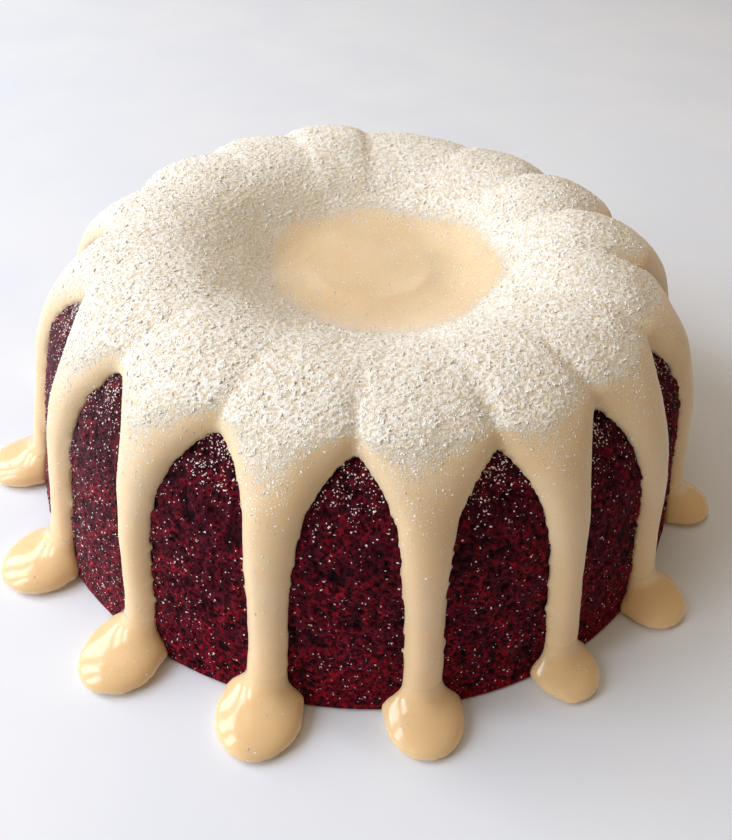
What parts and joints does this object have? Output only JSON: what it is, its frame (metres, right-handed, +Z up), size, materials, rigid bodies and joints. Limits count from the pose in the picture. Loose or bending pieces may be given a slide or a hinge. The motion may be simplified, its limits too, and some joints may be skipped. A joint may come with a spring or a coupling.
{
  "type": "red velvet cake",
  "caption": "Whole round red velvet cake with a shallow dish in its top, under a poured cream coat that runs down the side in drips to round puddles at the foot.",
  "frame": {"origin": "centre of the flat base of the sponge, where the cake stands", "axes": "+Z up along the cake's axis, -Y towards the side that the picture shows, +X to its right"},
  "size_m": [0.2283, 0.2323, 0.0759],
  "materials": {
    "sponge": "baked red velvet crumb, matte, dark maroon with open pores",
    "cream": "poured sweet cream, beige, soft gloss, dusted with off-white milk powder on top"
  },
  "bodies": {
    "root": {"sponge": "sponge", "cream": "cream"}
  },
  "joints": []
}
